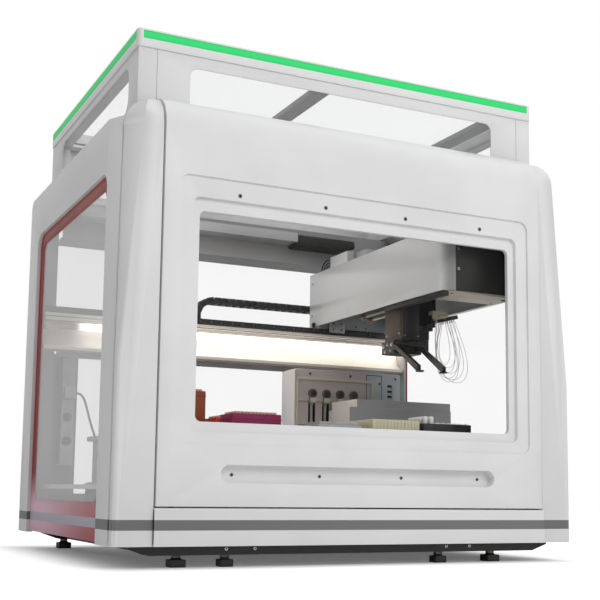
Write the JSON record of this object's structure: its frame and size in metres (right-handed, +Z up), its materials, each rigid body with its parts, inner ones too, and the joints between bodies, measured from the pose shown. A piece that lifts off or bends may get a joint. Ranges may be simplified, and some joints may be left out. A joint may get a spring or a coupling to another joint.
{
  "type": "enclosed liquid handling robot",
  "caption": "Laboratory workstation cabinet with lifting front door, glazed canopy and lit roof rim; a gantry bridge carries a plate gripper and a row of pipetting probes over a deck.",
  "frame": {"origin": "On the floor, under the centre of the outline", "axes": "X to the right as seen from the front, Y from the front door to the back, Z up"},
  "size_m": [1.086, 0.85, 1.095],
  "materials": {
    "panel_white": "satin light grey powder coat",
    "door_white": "fine satin moulding",
    "chassis_black": "satin black",
    "foot_black": "matte",
    "tint_rose": "tinted border, glossy",
    "clear_pane": "clear pane",
    "roof_glass": "frosted pane",
    "rail_steel": "ground steel",
    "frame_grey": "matt grey",
    "deck_grey": "anodised",
    "beam_ivory": "satin ivory",
    "tube_white": "lit tube",
    "chain_black": "matte black",
    "duct_grey": "satin grey",
    "cap_white": "satin",
    "led_green": "lit light bar",
    "seat_grey": "bead blasted",
    "tip_mixed": "coloured boxes with beige tips",
    "plate_beige": "translucent beige",
    "rack_black": "matte black with white caps",
    "chute_grey": "satin blue grey",
    "pump_beige": "satin warm grey",
    "valve_metal": "turned",
    "plunger_metal": "satin",
    "strip_grey": "matte",
    "lead_grey": "matte",
    "slide_grey": "machined",
    "bridge_grey": "satin light grey",
    "nose_black": "gloss black",
    "carriage_blue": "satin blue grey",
    "mast_brown": "dark anodised",
    "gripper_black": "black anodised",
    "probe_steel": "satin",
    "tubing_clear": "milky tubing"
  },
  "bodies": {
    "frame": {"chassis": "chassis_black", "levelling_feet": "foot_black", "base_rail": "panel_white", "left_pillar": "panel_white", "right_pillar": "panel_white", "left_side_panel": "panel_white", "right_side_panel": "panel_white", "left_shield": "tint_rose", "right_shield": "tint_rose", "shield_panes": "clear_pane", "door_guides": "rail_steel", "balance_springs": "slide_grey", "rear_frame": "frame_grey", "rear_panes": "clear_pane", "deck_plate": "deck_grey", "gantry_beam": "beam_ivory", "work_light": "tube_white", "bridge_rails": "rail_steel", "cable_chain": "chain_black", "chain_tray": "chain_black", "ceiling_duct": "duct_grey", "canopy_walls": "panel_white", "canopy_panes": "roof_glass", "roof_cap": "cap_white", "roof_beams": "frame_grey", "status_lights": "led_green", "positioners": "seat_grey", "tip_boxes": "tip_mixed", "deep_well_plates": "plate_beige", "tube_rack": "rack_black", "waste_chute": "chute_grey", "pump_case": "pump_beige", "syringe_pumps": "valve_metal", "power_strip": "strip_grey", "lead_plug": "strip_grey", "power_lead": "lead_grey"},
    "door": {"door_shell": "door_white", "door_pane": "clear_pane", "door_carriages": "slide_grey"},
    "bridge": {"bridge_cover": "bridge_grey", "bridge_nose": "nose_black", "bridge_beam": "slide_grey", "bridge_carriage": "carriage_blue"},
    "pod": {"pod_carriage": "gripper_black", "gripper_mast": "mast_brown", "head_frame": "gripper_black", "tubing_loops": "tubing_clear"},
    "lift": {"gripper_column": "gripper_black"},
    "gripper": {"gripper_body": "gripper_black"},
    "finger_l": {"finger_left": "gripper_black"},
    "finger_r": {"finger_right": "gripper_black"},
    "probe1": {"probe_1": "probe_steel"},
    "probe2": {"probe_2": "probe_steel"},
    "probe3": {"probe_3": "probe_steel"},
    "probe4": {"probe_4": "probe_steel"},
    "probe5": {"probe_5": "probe_steel"},
    "probe6": {"probe_6": "probe_steel"},
    "probe7": {"probe_7": "probe_steel"},
    "probe8": {"probe_8": "probe_steel"},
    "plunger_set": {"plungers": "plunger_metal"}
  },
  "joints": [
    {"name": "front_door", "type": "slide", "parent": "frame", "child": "door", "axis": [0, 0, 1], "range_m": [0, 0.4]},
    {"name": "bridge_travel", "type": "slide", "parent": "frame", "child": "bridge", "axis": [1, 0, 0], "range_m": [-0.68, 0.02]},
    {"name": "pod_travel", "type": "slide", "parent": "bridge", "child": "pod", "axis": [0, 1, 0], "range_m": [-0.14, 0.15]},
    {"name": "gripper_lift", "type": "slide", "parent": "pod", "child": "lift", "axis": [0, 0, 1], "range_m": [-0.18, 0]},
    {"name": "gripper_turn", "type": "hinge", "parent": "lift", "child": "gripper", "pos_m": [0.3145, -0.041, 0.52], "axis": [0, 0, 1], "range_deg": [-190, 15]},
    {"name": "finger_left_slide", "type": "slide", "parent": "gripper", "child": "finger_l", "axis": [1, 0, 0], "range_m": [-0.008, 0.018]},
    {"name": "finger_right_slide", "type": "slide", "parent": "gripper", "child": "finger_r", "axis": [1, 0, 0], "range_m": [-0.018, 0.008]},
    {"name": "probe_1_lift", "type": "slide", "parent": "pod", "child": "probe1", "axis": [0, 0, 1], "range_m": [-0.165, 0]},
    {"name": "probe_2_lift", "type": "slide", "parent": "pod", "child": "probe2", "axis": [0, 0, 1], "range_m": [-0.165, 0]},
    {"name": "probe_3_lift", "type": "slide", "parent": "pod", "child": "probe3", "axis": [0, 0, 1], "range_m": [-0.165, 0]},
    {"name": "probe_4_lift", "type": "slide", "parent": "pod", "child": "probe4", "axis": [0, 0, 1], "range_m": [-0.165, 0]},
    {"name": "probe_5_lift", "type": "slide", "parent": "pod", "child": "probe5", "axis": [0, 0, 1], "range_m": [-0.165, 0]},
    {"name": "probe_6_lift", "type": "slide", "parent": "pod", "child": "probe6", "axis": [0, 0, 1], "range_m": [-0.165, 0]},
    {"name": "probe_7_lift", "type": "slide", "parent": "pod", "child": "probe7", "axis": [0, 0, 1], "range_m": [-0.165, 0]},
    {"name": "probe_8_lift", "type": "slide", "parent": "pod", "child": "probe8", "axis": [0, 0, 1], "range_m": [-0.165, 0]},
    {"name": "plunger_stroke", "type": "slide", "parent": "frame", "child": "plunger_set", "axis": [0, 0, 1], "range_m": [-0.03, 0]}
  ],
  "couplings": [
    {"joint": "finger_right_slide", "follows": "finger_left_slide", "ratio": -1}
  ]
}
